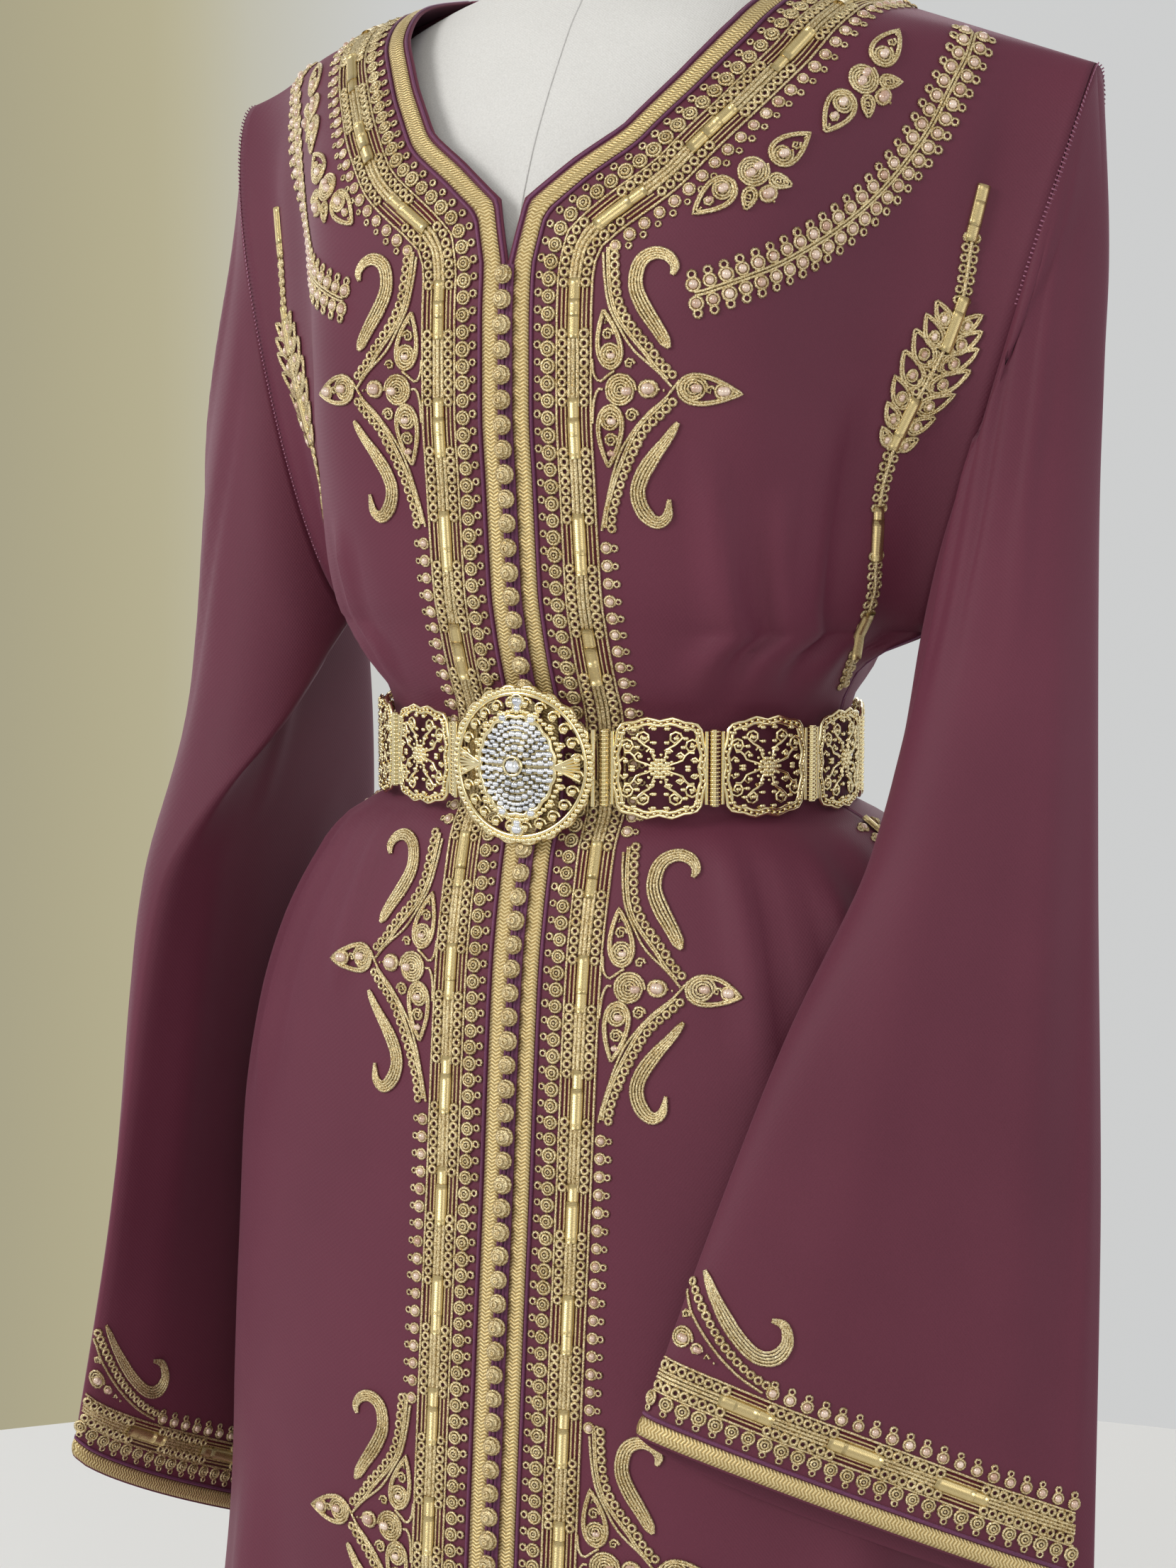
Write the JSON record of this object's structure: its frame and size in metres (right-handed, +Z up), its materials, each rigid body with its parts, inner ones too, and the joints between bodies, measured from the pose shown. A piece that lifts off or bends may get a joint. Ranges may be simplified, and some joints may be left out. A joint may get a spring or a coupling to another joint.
{
  "type": "kaftan on dress form",
  "caption": "Long open-front gown with braided edges, cord buttons, flared sleeves and a ring belt of metal plates, worn on a padded limbless dress form",
  "frame": {"origin": "centre of the underside of the form's base", "axes": "+Z up along the post, the gown faces -Y, the wearer's left is +X"},
  "size_m": [0.6246, 0.421, 1.547],
  "materials": {
    "crepe": "matte plum crepe",
    "gold_braid": "woven metallic braid",
    "gold_cord": "knotted metallic cord",
    "belt_metal": "bright gold plate",
    "form_linen": "white linen",
    "form_wood": "dark satin",
    "form_steel": "satin"
  },
  "bodies": {
    "root": {"front_left": "crepe", "front_right": "crepe", "back": "crepe", "sleeve_left": "crepe", "sleeve_right": "crepe", "braid_left": "gold_braid", "braid_right": "gold_braid", "braid_neck": "gold_braid", "cuff_braid_left": "gold_braid", "cuff_braid_right": "gold_braid", "button_row": "gold_cord", "belt_buckle": "belt_metal", "belt_plate_01": "belt_metal", "belt_plate_02": "belt_metal", "belt_plate_03": "belt_metal", "belt_plate_04": "belt_metal", "belt_plate_05": "belt_metal", "belt_plate_06": "belt_metal", "belt_plate_07": "belt_metal", "belt_plate_08": "belt_metal", "belt_plate_09": "belt_metal", "belt_plate_10": "belt_metal", "belt_plate_11": "belt_metal", "belt_plate_12": "belt_metal", "belt_hinge_01": "belt_metal", "belt_hinge_02": "belt_metal", "belt_hinge_03": "belt_metal", "belt_hinge_04": "belt_metal", "belt_hinge_05": "belt_metal", "belt_hinge_06": "belt_metal", "belt_hinge_07": "belt_metal", "belt_hinge_08": "belt_metal", "belt_hinge_09": "belt_metal", "belt_hinge_10": "belt_metal", "belt_hinge_11": "belt_metal", "belt_hinge_12": "belt_metal", "belt_hinge_13": "belt_metal", "form_torso": "form_linen", "form_cap": "form_wood", "form_post": "form_steel", "form_base": "form_steel"}
  },
  "joints": []
}
